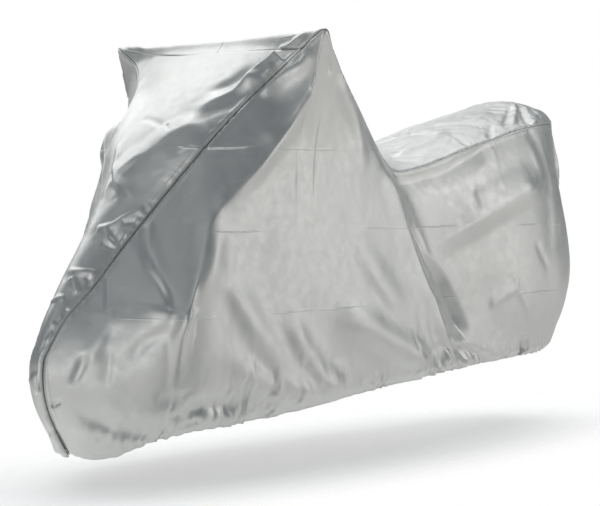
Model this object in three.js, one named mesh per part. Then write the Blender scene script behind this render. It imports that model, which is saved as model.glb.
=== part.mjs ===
// Fitted cover for a scooter or a small motorcycle: four panels of silver-coated polyester cloth, sewn
// edge to edge, in the shape in which they hang. Millimetres, +Z up, front towards -X, left side towards -Y.
// The tables below count from the point on the ground under the front axle. The part's own origin is the
// place that holds it up: the inner face of the cloth in the middle of the handlebar ridge.
import * as THREE from "three";

// Sizes of the cloth
const clothThickness = 2;
const seamGap = 0.3; // between two panels that are sewn together
const seamCalm = 45; // folds fade out over this distance beside a seam

// Place of the holding point above the ground and behind the front axle
const holdX = 322;
const holdZ = 1040;

// Sections from the nose to the tail, a row for each. Each one goes from the middle of the centre strip to
// the seam, and down the side to the hem. Half widths are measured from the middle plane, at fixed shares of
// the way down the side. The bulge pushes the side forwards at the nose and backwards at the tail.
const sections = table(
  "seamX seamHalf seamZ shoulderHalf highHalf midHalf lowHalf bulge hemX hemHalf hemZ centreX centreZ",
  [
    [-232, 22, 305, 22, 22, 19, 16, -30, -158, 13, 70, -246, 312],
    [-186, 36, 385, 50, 64, 74, 74, -28, -130, 55, 60, -208, 395],
    [-117, 56, 462, 86, 124, 146, 142, -16, -86, 105, 72, -150, 480],
    [-40, 77, 558, 128, 203, 225, 206, -6, -30, 160, 100, -78, 585],
    [38, 115, 662, 180, 250, 256, 245, 0, 45, 200, 120, -5, 695],
    [107, 170, 768, 228, 254, 256, 252, 0, 125, 220, 127, 60, 800],
    [190, 205, 862, 280, 262, 258, 255, 0, 210, 230, 134, 150, 890],
    [262, 240, 940, 294, 269, 262, 258, 0, 280, 235, 140, 245, 973],
    [300, 292, 1000, 318, 277, 264, 260, 0, 330, 240, 145, 300, 1022],
    [307, 370, 1048, 335, 285, 265, 261, 0, 375, 240, 148, 322, 1042],
    [362, 348, 1003, 313, 279, 265, 262, 0, 450, 240, 156, 372, 1015],
    [450, 303, 943, 282, 264, 263, 262, 0, 560, 240, 166, 460, 950],
    [550, 262, 873, 254, 254, 260, 262, 0, 690, 240, 177, 567, 876],
    [650, 218, 803, 236, 244, 254, 259, 0, 830, 238, 188, 672, 816],
    [722, 190, 757, 210, 226, 242, 250, 0, 950, 228, 196, 752, 778],
    [785, 180, 727, 194, 208, 212, 207, 0, 1050, 206, 199, 832, 767],
    [905, 182, 745, 198, 212, 214, 206, 0, 1185, 200, 202, 930, 792],
    [1050, 185, 785, 204, 224, 226, 216, 0, 1270, 197, 206, 1060, 842],
    [1190, 180, 818, 204, 226, 230, 222, 0, 1350, 188, 207, 1190, 880],
    [1330, 168, 850, 194, 216, 222, 216, 8, 1420, 172, 208, 1330, 915],
    [1460, 152, 867, 168, 186, 198, 198, 32, 1490, 148, 212, 1455, 942],
    [1580, 100, 875, 102, 106, 112, 112, 92, 1560, 95, 225, 1610, 925],
  ],
);
const crossSeam = 7.75; // section at which the front panel ends and the top panel starts
const ridge = 9; // section that runs over the ends of the handlebar
const tail = sections.length - 1;
const sideLevels = [0, 0.1, 0.25, 0.5, 0.75, 1]; // shares of the way down, one for each half width
const noseLag = 0.85; // where the bulge is largest: below 1 is higher than half way down
const tailLag = 1.7;
const noseCrown = 14; // how far the middle of the centre strip stands out below the first section
const tailCrown = 35;
const tailSwell = 15; // and how much more half way down the tail
const crownPower = 2.2; // roundness of the centre strip: 2 is a parabola, more is a flatter top
const jointEase = 3; // how soon the strip's middle leaves the first and the last section
const endFade = 0.5; // share of its height that a fold loses at its two ends

// Finish of the cloth
const sideColour = 0xb4b6b3;
const frontColour = 0xbdbfc2;
const topColour = 0xc4c5c2;
const clothRoughness = 0.42;
const clothMetalness = 0.55;

// Number of cells of each panel's grid
const cellsDown = 14;
const cellsAcross = 8;
const bays = table("from to cells", [
  [0, crossSeam, 17],
  [crossSeam, ridge, 3],
  [ridge, tail, 33],
]);

// Main folds, a row for each: a curve through three places, the height of the fold (below zero is a trough),
// its half width, and its lean (above zero is steeper on the right of its path).
// The side panels' places are x and z as seen from the side.
const foldColumns = "a0 b0 a1 b1 a2 b2 height width lean";
const leftFolds = table(foldColumns, [
  [300, 1000, 170, 735, -6, 405, 9, 36, 0], // edge of the leg shield under the cloth
  [-110, 420, -40, 402, 10, 402, 5, 32, 0], // lower limit of the leg shield
  [-95, 420, -125, 360, -170, 290, -7, 34, 0], // hollow behind the nose
  [-205, 200, -120, 152, 40, 122, -12, 34, 0.3], // sweep round the nose
  [-10, 135, 90, 172, 195, 140, -8, 34, 0.3], // bow above the front hem
  [30, 340, 200, 240, 480, 190, -13, 38, 0.3], // long sweeps from the floor board to the hem
  [80, 560, 150, 370, 420, 222, -12, 38, 0.2],
  [330, 405, 470, 325, 700, 190, -14, 38, 0.3],
  [450, 620, 560, 510, 700, 400, -7, 40, 0], // slack from the handlebar to the seat
  [830, 250, 870, 262, 910, 212, 12, 36, 0], // round swelling above the hem
  [700, 765, 815, 560, 935, 275, 12, 34, 0], // edge that hangs from the seat's front corner
  [785, 660, 880, 470, 1065, 265, -28, 42, 0.3], // deep trough behind it
  [950, 280, 1010, 222, 1200, 210, -9, 34, 0], // fold that runs out of the trough along the hem
  [860, 548, 1090, 618, 1370, 715, 11, 36, -0.3], // crease along the rear side
  [1385, 660, 1395, 470, 1440, 270, -8, 34, 0], // upright troughs at the tail corner
  [1475, 640, 1500, 450, 1500, 275, -6, 34, 0],
  [1300, 215, 1305, 250, 1315, 300, -9, 34, 0], // pucker above the rear hem
]);
const rightFolds = table(foldColumns, [
  [300, 1000, 170, 735, -6, 405, 9, 36, 0],
  [0, 450, 50, 570, 120, 670, -55, 90, 0], // hollow beside the leg shield
  [-200, 190, -100, 160, 30, 125, -10, 34, 0],
  [60, 520, 130, 350, 330, 200, -13, 38, -0.2],
  [400, 600, 520, 450, 760, 200, -14, 40, -0.2],
  [700, 765, 800, 580, 900, 300, 12, 36, 0],
  [790, 660, 900, 460, 1020, 280, -24, 44, -0.3],
  [900, 560, 1120, 600, 1360, 690, 10, 36, 0.3],
  [1180, 520, 1230, 380, 1260, 230, -9, 36, 0],
  [1400, 650, 1420, 470, 1460, 280, -8, 34, 0],
]);
// The front panel's places are y and z as seen from the front.
const frontFolds = table(foldColumns, [
  [40, 680, -50, 780, -195, 850, 12, 36, 0], // edge of the front fairing
  [40, 690, 110, 760, 120, 860, 8, 34, 0],
  [-95, 850, -165, 905, -230, 965, -7, 30, 0], // tension fold towards the left handlebar
  [100, 900, 150, 930, 205, 975, -6, 30, 0],
]);
// The top panel's places are the distance from the cross seam along its middle, and y.
const topFolds = table(foldColumns, [
  [40, -355, 45, -320, 40, -270, 12, 34, 0], // grips of the handlebar
  [40, 355, 45, 320, 40, 270, 12, 34, 0],
  [180, -230, 330, -120, 520, -90, -9, 36, 0], // slack behind the handlebar
  [180, 230, 330, 120, 520, 90, -9, 36, 0],
  [640, -130, 760, -110, 900, -120, -8, 30, 0], // seat
  [1270, -70, 1180, -110, 1090, -150, 7, 32, 0], // fold from the rear handle
  [1500, -60, 1700, -70, 2050, -50, -8, 34, 0], // down the tail
  [1520, 70, 1750, 60, 2080, 70, -8, 34, 0],
]);

// Names the columns of a table's rows.
function table(columns, rows) {
  const names = columns.split(" ");
  return rows.map((row) => Object.fromEntries(names.map((name, i) => [name, row[i]])));
}

// A smooth curve through evenly spaced values, at a place counted in values.
function through(values, at) {
  const last = values.length - 1;
  const k = Math.min(Math.max(Math.floor(at), 0), last - 1);
  const f = at - k;
  const before = k > 0 ? values[k - 1] : 2 * values[0] - values[1];
  const after = k < last - 1 ? values[k + 2] : 2 * values[last] - values[last - 1];
  const [p, q] = [values[k], values[k + 1]];
  const curve = 3 * p - before - 3 * q + after;
  return p + 0.5 * f * (q - before + f * (2 * before - 5 * p + 4 * q - after + f * curve));
}

// A smooth curve through values at uneven places, each with the slope of its two neighbours.
function throughAt(places, values, at) {
  const k = Math.min(Math.max(places.findLastIndex((place) => place <= at), 0), places.length - 2);
  const rise = (i) => (values[i + 1] - values[i]) / (places[i + 1] - places[i]);
  const slope = (i) => {
    if (i === 0) return rise(0);
    if (i === places.length - 1) return rise(i - 1);
    const [left, right] = [places[i] - places[i - 1], places[i + 1] - places[i]];
    return (rise(i - 1) * right + rise(i) * left) / (left + right);
  };
  const step = places[k + 1] - places[k];
  const t = (at - places[k]) / step;
  return (
    values[k] * (1 + 2 * t) * (1 - t) ** 2 +
    values[k + 1] * t * t * (3 - 2 * t) +
    slope(k) * step * t * (1 - t) ** 2 +
    slope(k + 1) * step * t * t * (t - 1)
  );
}

// One value of the sections' table at a place between two sections.
function sectionValue(name, section) {
  return through(sections.map((row) => row[name]), section);
}

// Point of the smooth side, at a section and a share of the way down to the hem. hand is -1 on the left.
function sidePoint(hand, section, down) {
  const value = (name) => sectionValue(name, section);
  const bulge = value("bulge");
  const lag = bulge > 0 ? tailLag : noseLag;
  const halfWidths = ["seamHalf", "shoulderHalf", "highHalf", "midHalf", "lowHalf", "hemHalf"].map(value);
  return new THREE.Vector3(
    THREE.MathUtils.lerp(value("seamX"), value("hemX"), down) + bulge * Math.sin(Math.PI * down ** lag),
    hand * throughAt(sideLevels, halfWidths, down),
    THREE.MathUtils.lerp(value("seamZ"), value("hemZ"), down),
  );
}

// The border of the centre strip is one line of steps: up the nose, along the seam, and down the tail.
// A step says which section and which share of the way down it has.
const steps = [];
for (let j = cellsDown; j > 0; j--) steps.push({ section: 0, down: j / cellsDown });
bays.forEach((bay, i) => {
  const places = evenPlaces(bay.from, bay.to, bay.cells);
  places.slice(i ? 1 : 0).forEach((section) => steps.push({ section, down: 0 }));
});
for (let j = 1; j <= cellsDown; j++) steps.push({ section: tail, down: j / cellsDown });
const firstSeamStep = cellsDown;
const crossStep = cellsDown + bays[0].cells;
const lastSeamStep = steps.length - 1 - cellsDown;

// Sections that divide a stretch of the side into cells of equal length, measured on its upper part.
function evenPlaces(from, to, cells) {
  const fine = 200;
  const level = 0.25;
  const at = (i) => from + ((to - from) * i) / fine;
  const length = [0];
  for (let i = 1; i <= fine; i++) {
    const step = sidePoint(1, at(i), level).distanceTo(sidePoint(1, at(i - 1), level));
    length.push(length[i - 1] + step);
  }
  const places = [];
  for (let cell = 0, i = 0; cell <= cells; cell++) {
    const want = (length[fine] * cell) / cells;
    while (i < fine && length[i + 1] < want) i++;
    const share = i < fine ? (want - length[i]) / (length[i + 1] - length[i]) : 0;
    places.push(at(i + share));
  }
  return places;
}

// Middle of the centre strip beside a step of its border.
function stripCentre(step) {
  const edge = sidePoint(1, step.section, step.down);
  const joint = { x: sectionValue("centreX", step.section), z: sectionValue("centreZ", step.section) };
  if (step.down === 0) return joint;
  const atTail = step.section > 0;
  const stand = atTail ? tailCrown + tailSwell * Math.sin(Math.PI * step.down) : -noseCrown;
  const corner = sidePoint(1, step.section, 0);
  const share = (1 - step.down) ** jointEase;
  return {
    x: edge.x + stand + share * (joint.x - corner.x - (atTail ? tailCrown : -noseCrown)),
    z: edge.z + share * (joint.z - corner.z),
  };
}

// Point of the smooth centre strip at a step, from -1 at the left seam to 1 at the right seam.
function stripPoint(step, across) {
  const edge = sidePoint(1, step.section, step.down);
  const centre = stripCentre(step);
  const crown = 1 - Math.abs(across) ** crownPower;
  return new THREE.Vector3(
    THREE.MathUtils.lerp(edge.x, centre.x, crown),
    edge.y * across,
    THREE.MathUtils.lerp(edge.z, centre.z, crown),
  );
}

// Distance from the cross seam along the middle of the top panel, for each of its steps.
const topLength = [0];
for (let i = crossStep + 1; i < steps.length; i++) {
  const step = stripPoint(steps[i], 0).distanceTo(stripPoint(steps[i - 1], 0));
  topLength.push(topLength.at(-1) + step);
}

// Height of all the folds of one panel at a place. A fold's path is a parabola through its three places.
function foldHeight(folds, a, b) {
  const pathSteps = 24;
  let height = 0;
  for (const fold of folds) {
    let best = { distance: Infinity, side: 0, share: 0 };
    let before = null;
    for (let i = 0; i <= pathSteps; i++) {
      const t = i / pathSteps;
      const [first, middle, last] = [(1 - t) * (1 - 2 * t), 4 * t * (1 - t), t * (2 * t - 1)];
      const at = {
        a: first * fold.a0 + middle * fold.a1 + last * fold.a2,
        b: first * fold.b0 + middle * fold.b1 + last * fold.b2,
      };
      const distance = Math.hypot(a - at.a, b - at.b);
      if (before && distance < best.distance) {
        const side = Math.sign((at.a - before.a) * (b - at.b) - (at.b - before.b) * (a - at.a));
        best = { distance, side, share: t };
      }
      before = at;
    }
    const width = fold.width * (1 + fold.lean * best.side);
    const fade = 1 - endFade * (2 * best.share - 1) ** 2;
    height += fold.height * fade * Math.exp(-((best.distance / width) ** 2));
  }
  return height;
}

// Outward direction of a grid of points, from the points beside each one.
function outwards(points, i, j, turn) {
  const column = (k) => points[Math.min(Math.max(k, 0), points.length - 1)];
  const clamp = (list, k) => list[Math.min(Math.max(k, 0), list.length - 1)];
  const along = clamp(column(i + 1), j).clone().sub(clamp(column(i - 1), j));
  const down = clamp(column(i), j + 1).clone().sub(clamp(column(i), j - 1));
  return along.cross(down).multiplyScalar(turn).normalize();
}

// A closed sheet from a grid of outer points and the inward direction at each: two layers and their rim.
function sheetGeometry(outer, inward, turn) {
  const [columns, rows] = [outer.length, outer[0].length];
  const layerSize = columns * rows;
  const position = [];
  for (const depth of [0, clothThickness])
    outer.forEach((line, i) =>
      line.forEach((point, j) => position.push(...point.clone().addScaledVector(inward[i][j], depth))),
    );
  const index = [];
  const quad = (a, b, c, d) => {
    if (turn > 0) index.push(a, b, c, a, c, d);
    else index.push(a, c, b, a, d, c);
  };
  const at = (i, j) => i * rows + j;
  for (let i = 0; i < columns - 1; i++)
    for (let j = 0; j < rows - 1; j++) {
      const [a, b, c, d] = [at(i, j), at(i + 1, j), at(i + 1, j + 1), at(i, j + 1)];
      quad(a, b, c, d);
      quad(a + layerSize, d + layerSize, c + layerSize, b + layerSize); // split along the same diagonal
    }
  const rim = (a, b) => quad(b, a, a + layerSize, b + layerSize);
  for (let i = 0; i < columns - 1; i++) {
    rim(at(i, 0), at(i + 1, 0));
    rim(at(i + 1, rows - 1), at(i, rows - 1));
  }
  for (let j = 0; j < rows - 1; j++) {
    rim(at(0, j + 1), at(0, j));
    rim(at(columns - 1, j), at(columns - 1, j + 1));
  }
  const geometry = new THREE.BufferGeometry();
  geometry.setAttribute("position", new THREE.Float32BufferAttribute(position, 3));
  geometry.setIndex(index);
  geometry.computeVertexNormals();
  return geometry;
}

// Grids of the smooth panels. The side's columns stand at the seam's steps, the strip's lines at all steps.
const seamSteps = steps.slice(firstSeamStep, lastSeamStep + 1);
const downShares = Array.from({ length: cellsDown + 1 }, (_, j) => j / cellsDown);
const acrossShares = Array.from({ length: cellsAcross + 1 }, (_, j) => (2 * j) / cellsAcross - 1);
const sideColumn = (hand, section) => downShares.map((down) => sidePoint(hand, section, down));
const sideGrid = (hand) => seamSteps.map((step) => sideColumn(hand, step.section));
const stripGrid = steps.map((step) => acrossShares.map((across) => stripPoint(step, across)));

// Outward direction at each step of one border, shared by the two panels that meet there.
function borderDirections(hand) {
  const side = sideGrid(hand);
  return steps.map((step, k) => {
    const column = Math.min(Math.max(k - firstSeamStep, 0), side.length - 1);
    const row = step.down ? Math.round(step.down * cellsDown) : 0;
    const ofSide = outwards(side, column, row, -hand);
    const ofStrip = outwards(stripGrid, k, hand < 0 ? 0 : cellsAcross, -1);
    return ofSide.add(ofStrip).normalize();
  });
}
const borders = { [-1]: borderDirections(-1), [1]: borderDirections(1) };

// A side panel: its smooth grid with the folds raised along the outward direction.
function sideSheet(hand, folds) {
  const smooth = sideGrid(hand);
  const lastColumn = smooth.length - 1;
  const border = borders[hand];
  const outer = [];
  const inward = [];
  smooth.forEach((line, i) => {
    outer.push([]);
    inward.push([]);
    line.forEach((point, j) => {
      const onSeam = j === 0;
      const onEnd = i === 0 || i === lastColumn;
      let out = outwards(smooth, i, j, -hand);
      if (onSeam) out = border[firstSeamStep + i];
      else if (i === 0) out = border[firstSeamStep - j];
      else if (i === lastColumn) out = border[lastSeamStep + j];
      const fromEdge = Math.min(
        point.distanceTo(line[0]),
        point.distanceTo(smooth[0][j]),
        point.distanceTo(smooth[lastColumn][j]),
      );
      const calm = THREE.MathUtils.smoothstep(fromEdge, 0, seamCalm);
      const moved = point.clone().addScaledVector(out, calm * foldHeight(folds, point.x, point.z));
      if (onSeam || onEnd) {
        const inner = smooth[i === 0 ? 1 : i === lastColumn ? i - 1 : i][onSeam ? 1 : j];
        moved.addScaledVector(inner.clone().sub(point).normalize(), seamGap);
      }
      outer[i].push(moved);
      inward[i].push(out.clone().negate());
    });
  });
  return sheetGeometry(outer, inward, -hand);
}

// A stretch of the centre strip between two steps. place gives the folds' two coordinates of a point.
function stripSheet(fromStep, toStep, folds, place) {
  const outer = [];
  const inward = [];
  for (let k = fromStep; k <= toStep; k++) {
    outer.push([]);
    inward.push([]);
    stripGrid[k].forEach((point, j) => {
      const atLeft = j === 0;
      const atRight = j === cellsAcross;
      let out = outwards(stripGrid, k, j, -1);
      if (atLeft) out = borders[-1][k];
      if (atRight) out = borders[1][k];
      const fromEdge = Math.min(
        point.distanceTo(stripGrid[k][0]),
        point.distanceTo(stripGrid[k][cellsAcross]),
        point.distanceTo(stripGrid[crossStep][j]),
      );
      const calm = THREE.MathUtils.smoothstep(fromEdge, 0, seamCalm);
      const [a, b] = place(point, k);
      const moved = point.clone().addScaledVector(out, calm * foldHeight(folds, a, b));
      if (atLeft || atRight) {
        const inner = stripGrid[k][atLeft ? 1 : cellsAcross - 1];
        moved.addScaledVector(inner.clone().sub(point).normalize(), seamGap);
      }
      if (k === crossStep) {
        const inner = stripGrid[k === fromStep ? k + 1 : k - 1][j];
        moved.addScaledVector(inner.clone().sub(point).normalize(), seamGap / 2);
      }
      outer[outer.length - 1].push(moved);
      inward[inward.length - 1].push(out.clone().negate());
    });
  }
  return sheetGeometry(outer, inward, -1);
}

// A cloth panel as a named mesh in silver-coated polyester.
function panel(name, geometry, colour) {
  const material = new THREE.MeshStandardMaterial({
    color: colour,
    roughness: clothRoughness,
    metalness: clothMetalness,
    flatShading: true,
  });
  const mesh = new THREE.Mesh(geometry, material);
  mesh.name = name;
  return mesh;
}

const frontPlace = (point) => [point.y, point.z];
const topPlace = (point, k) => [topLength[k - crossStep], point.y];

const cover = new THREE.Group();
cover.position.set(-holdX, 0, -holdZ);
cover.add(
  panel("side_left", sideSheet(-1, leftFolds), sideColour),
  panel("side_right", sideSheet(1, rightFolds), sideColour),
  panel("front_panel", stripSheet(0, crossStep, frontFolds, frontPlace), frontColour),
  panel("top_panel", stripSheet(crossStep, steps.length - 1, topFolds, topPlace), topColour),
);

const group = new THREE.Group();
group.add(cover);
export default group;
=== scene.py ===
import math

import bpy
import numpy as np
from mathutils import Matrix, Vector


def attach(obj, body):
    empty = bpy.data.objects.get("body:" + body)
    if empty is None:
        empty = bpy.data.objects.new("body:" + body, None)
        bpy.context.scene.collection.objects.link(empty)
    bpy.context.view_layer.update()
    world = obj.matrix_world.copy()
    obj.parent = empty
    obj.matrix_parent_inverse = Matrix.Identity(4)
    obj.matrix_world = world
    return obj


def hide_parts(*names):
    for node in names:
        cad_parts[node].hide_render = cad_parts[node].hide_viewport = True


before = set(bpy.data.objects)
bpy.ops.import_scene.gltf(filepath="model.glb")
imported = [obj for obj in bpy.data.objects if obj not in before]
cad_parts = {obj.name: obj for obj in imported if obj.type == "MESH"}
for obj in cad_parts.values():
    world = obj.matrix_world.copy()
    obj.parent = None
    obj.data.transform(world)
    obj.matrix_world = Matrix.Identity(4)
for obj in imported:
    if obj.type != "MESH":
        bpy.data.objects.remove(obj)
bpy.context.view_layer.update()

# Fitted scooter cover of silver-coated polyester cloth. Metres, +Z up, front towards -X, left towards -Y.
# Places count from the point on the ground under the front axle, and holdPlace is where the part's own origin
# lies from there: the inner face of the cloth in the middle of the handlebar ridge.
holdPlace = np.array([0.322, 0.0, 1.040])

# Sections from the nose to the tail, a row for each, in millimetres. Half widths are measured from the middle
# plane, at sideLevels of the way down from the seam to the hem.
sectionColumns = (
    "seamX seamHalf seamZ shoulderHalf highHalf midHalf lowHalf bulge hemX hemHalf hemZ centreX centreZ"
)
sectionRows = [
    [-232, 22, 305, 22, 22, 19, 16, -30, -158, 13, 70, -246, 312],
    [-186, 36, 385, 50, 64, 74, 74, -28, -130, 55, 60, -208, 395],
    [-117, 56, 462, 86, 124, 146, 142, -16, -86, 105, 72, -150, 480],
    [-40, 77, 558, 128, 203, 225, 206, -6, -30, 160, 100, -78, 585],
    [38, 115, 662, 180, 250, 256, 245, 0, 45, 200, 120, -5, 695],
    [107, 170, 768, 228, 254, 256, 252, 0, 125, 220, 127, 60, 800],
    [190, 205, 862, 280, 262, 258, 255, 0, 210, 230, 134, 150, 890],
    [262, 240, 940, 294, 269, 262, 258, 0, 280, 235, 140, 245, 973],
    [300, 292, 1000, 318, 277, 264, 260, 0, 330, 240, 145, 300, 1022],
    [307, 370, 1048, 335, 285, 265, 261, 0, 375, 240, 148, 322, 1042],
    [362, 348, 1003, 313, 279, 265, 262, 0, 450, 240, 156, 372, 1015],
    [450, 303, 943, 282, 264, 263, 262, 0, 560, 240, 166, 460, 950],
    [550, 262, 873, 254, 254, 260, 262, 0, 690, 240, 177, 567, 876],
    [650, 218, 803, 236, 244, 254, 259, 0, 830, 238, 188, 672, 816],
    [722, 190, 757, 210, 226, 242, 250, 0, 950, 228, 196, 752, 778],
    [785, 180, 727, 194, 208, 212, 207, 0, 1050, 206, 199, 832, 767],
    [905, 182, 745, 198, 212, 214, 206, 0, 1185, 200, 202, 930, 792],
    [1050, 185, 785, 204, 224, 226, 216, 0, 1270, 197, 206, 1060, 842],
    [1190, 180, 818, 204, 226, 230, 222, 0, 1350, 188, 207, 1190, 880],
    [1330, 168, 850, 194, 216, 222, 216, 8, 1420, 172, 208, 1330, 915],
    [1460, 152, 867, 168, 186, 198, 198, 32, 1490, 148, 212, 1455, 942],
    [1580, 100, 875, 102, 106, 112, 112, 92, 1560, 95, 225, 1610, 925],
]
sideLevels = [0, 0.1, 0.25, 0.5, 0.75, 1]
crossSeam = 7.7  # section at which the front panel ends and the top panel starts, in the middle of the strip
crossSeamRise = {"left": 0.40, "right": 1.0}  # how much further along it meets the two seams
tailSection = len(sectionRows) - 1

# Edge of the leg shield that shows through the side: how far down each section it lies, its half width in
# metres, and how crisp a corner it makes.
shieldColumns = "down half crisp"
shieldFirst = 3  # section of the first row
shieldRows = [
    [0.500, 0.272, 1.0],
    [0.169, 0.258, 1.0],
    [0.169, 0.256, 1.0],
    [0.165, 0.290, 1.0],
    [0.152, 0.300, 0.7],
    [0.076, 0.335, 0.4],
    [0.012, 0.370, 1.0],
    [0.004, 0.348, 0.0],
    [0.004, 0.303, 0.0],
]

shape = {
    "thickness": 0.002,
    "noseLag": 0.85,  # where the nose's bulge is largest: below 1 is higher than half way down
    "tailLag": 1.7,
    "noseCrown": 0.014,  # how far the strip's middle stands out below the first section
    "tailCrown": 0.035,
    "tailSwell": 0.015,
    "crownPower": 2.2,  # roundness of the centre strip
    "jointEase": 3,  # how soon the strip's height settles below the first and the last seam point
    "edgeRound": 0.011,  # rounding of the leg shield's edge, as a share of the way down
    "edgeStart": (2.95, 3.3),  # sections between which the edge appears
    "edgeReach": 0.12,  # share of the way down over which the side gets back to its smooth shape
    "edgeLeast": 0.004,  # the edge lies at least this far down
}

# Hollow of the right side beside the leg shield: how far in, where, and over which reach. It fades out over
# the share calm next to the seam.
farHollow = {
    "depth": 0.085,
    "section": 4.2,
    "sectionReach": 1.3,
    "down": 0.24,
    "downReach": 0.20,
    "calm": 0.15,
}


# The columns of a table, each under its name, divided by the number of the table's units in one of ours.
def columnsOf(names, rows, units):
    values = np.array(rows, dtype=float) / units
    return {name: values[:, i] for i, name in enumerate(names.split())}


sections = columnsOf(sectionColumns, sectionRows, 1000)
shieldEdge = columnsOf(shieldColumns, shieldRows, 1)


# 0 up to low, 1 from high on, and between them the cubic 3 t^2 - 2 t^3.
def smoothStep(low, high, value):
    t = np.clip((value - low) / (high - low), 0, 1)
    return t * t * (3 - 2 * t)


# Smooth curve through evenly spaced values: a cubic between two of them that keeps their neighbours' slope.
def throughEven(values, at):
    last = len(values) - 1
    ends = [2 * values[0] - values[1]], [2 * values[-1] - values[-2]]
    padded = np.concatenate([ends[0], values, ends[1]])
    k = np.clip(np.floor(at).astype(int), 0, last - 1)
    f = np.clip(at, 0, last) - k
    before, here, after, beyond = (padded[k + i] for i in range(4))
    bend = 2 * before - 5 * here + 4 * after - beyond
    twist = 3 * here - before - 3 * after + beyond
    return here + 0.5 * f * (after - before + f * (bend + f * twist))


# Smooth curve through values at uneven levels: between two of them a cubic with the weighted slopes there.
def throughLevels(levels, values, at):
    steps = np.diff(levels)
    rises = [(b - a) / step for a, b, step in zip(values, values[1:], steps)]
    inner = [(p * t + q * s) / (s + t) for p, q, s, t in zip(rises, rises[1:], steps, steps[1:])]
    slopes = [rises[0], *inner, rises[-1]]
    result = values[0] + 0 * at
    for k, step in enumerate(steps):
        t = np.clip((at - levels[k]) / step, 0, 1)
        curve = values[k] * (1 + 2 * t) * (1 - t) ** 2 + values[k + 1] * t * t * (3 - 2 * t)
        curve = curve + step * (slopes[k] * t * (1 - t) ** 2 + slopes[k + 1] * t * t * (t - 1))
        result = np.where(at >= levels[k], curve, result)
    return result


# One column of the section table, as a smooth curve over the sections.
def sectionValue(name, section):
    return throughEven(sections[name], section)


# Half width of the side: smooth through the levels, and with the leg shield's edge as a corner between a
# straight facet that starts at the seam and the rest of the side.
def halfWidth(section, down):
    names = ["seamHalf", "shoulderHalf", "highHalf", "midHalf", "lowHalf", "hemHalf"]
    values = [sectionValue(name, section) for name in names]
    smooth = throughLevels(sideLevels, values, down)
    place = section - shieldFirst
    edgeDown = np.clip(throughEven(shieldEdge["down"], place), shape["edgeLeast"], 1)
    edgeHalf = throughEven(shieldEdge["half"], place)
    crisp = np.clip(throughEven(shieldEdge["crisp"], place), 0, 1) * smoothStep(*shape["edgeStart"], section)
    crisp = np.where(place < len(shieldRows) - 1, crisp, 0)
    at = np.minimum(down, edgeDown)
    facet = values[0] + (edgeHalf - values[0]) * at / edgeDown
    smoothHalf = throughLevels(sideLevels, values, edgeDown)
    stand = edgeHalf - smoothHalf
    past = np.clip(down - edgeDown, 0, None)
    rest = throughLevels(sideLevels, values, np.maximum(down, edgeDown))
    rest = rest + stand * np.exp(-past / shape["edgeReach"])
    creased = np.where(down < edgeDown, facet, rest)
    rounding = np.minimum(shape["edgeRound"], edgeDown)
    step = 0.01
    restSlope = (throughLevels(sideLevels, values, edgeDown + step) - smoothHalf) / step
    restSlope = restSlope - stand / shape["edgeReach"]
    corner = np.clip(rounding - np.abs(down - edgeDown), 0, None)
    facetSlope = (edgeHalf - values[0]) / edgeDown
    creased = creased + (restSlope - facetSlope) * corner**2 / (4 * rounding)
    return smooth + crisp * (creased - smooth)


# How far the right side is drawn in: a bell over the sections and the way down that is zero on the seam.
def hollowDepth(section, down):
    bell = ((section - farHollow["section"]) / farHollow["sectionReach"]) ** 2
    bell = bell + ((down - farHollow["down"]) / farHollow["downReach"]) ** 2
    return farHollow["depth"] * np.exp(-bell) * smoothStep(0, farHollow["calm"], down)


# Smooth side: x and z run straight from the seam to the hem, and the bulge pushes x out between them.
def sidePoints(hand, section, down):
    section, down = np.broadcast_arrays(np.asarray(section, float), np.asarray(down, float))
    bulge = sectionValue("bulge", section)
    lag = np.where(bulge > 0, shape["tailLag"], shape["noseLag"])
    seamX, hemX = sectionValue("seamX", section), sectionValue("hemX", section)
    seamZ, hemZ = sectionValue("seamZ", section), sectionValue("hemZ", section)
    x = seamX + (hemX - seamX) * down + bulge * np.sin(np.pi * down**lag)
    z = seamZ + (hemZ - seamZ) * down
    half = halfWidth(section, down) - (hollowDepth(section, down) if hand > 0 else 0)
    return np.stack([x, hand * half, z], -1)


# Smooth centre strip: from the side's border to the strip's middle along a crown, 1 - |across| ^ crownPower.
# Down the nose and the tail, the middle stands out by a fixed crown that eases into the seam's middle.
def stripPoints(section, down, across):
    edge, corner = sidePoints(1, section, down), sidePoints(1, section, 0 * down)
    atTail = section > 0
    swell = shape["tailCrown"] + shape["tailSwell"] * np.sin(np.pi * down)
    stand = np.where(atTail, swell, -shape["noseCrown"])
    crownAtJoint = np.where(atTail, shape["tailCrown"], -shape["noseCrown"])
    share = (1 - down) ** shape["jointEase"]
    topX, topZ = sectionValue("centreX", section), sectionValue("centreZ", section)
    centreX = edge[..., 0] + stand + share * (topX - corner[..., 0] - crownAtJoint)
    centreZ = edge[..., 2] + share * (topZ - corner[..., 2])
    onSeam = down == 0
    centreX, centreZ = np.where(onSeam, topX, centreX), np.where(onSeam, topZ, centreZ)
    crown = 1 - np.abs(across) ** shape["crownPower"]
    x = edge[..., 0] + (centreX - edge[..., 0]) * crown
    z = edge[..., 2] + (centreZ - edge[..., 2]) * crown
    return np.stack([x, edge[..., 1] * across, z], -1)


# Steps in which lengths and densities are added up
fineSteps = {"shares": 2000, "sections": 1200}


# Shares from 0 to 1 whose steps are smaller where the density is higher. Each peak is (place, reach, extra).
def gradedShares(count, peaks):
    fine = np.linspace(0, 1, fineSteps["shares"] + 1)
    density = np.ones_like(fine)
    for place, reach, extra in peaks:
        density += extra * np.exp(-(((fine - place) / reach) ** 2))
    grown = np.concatenate([[0], np.cumsum((density[1:] + density[:-1]) / 2)])
    return np.interp(np.linspace(0, 1, count + 1), grown / grown[-1], fine)


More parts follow.
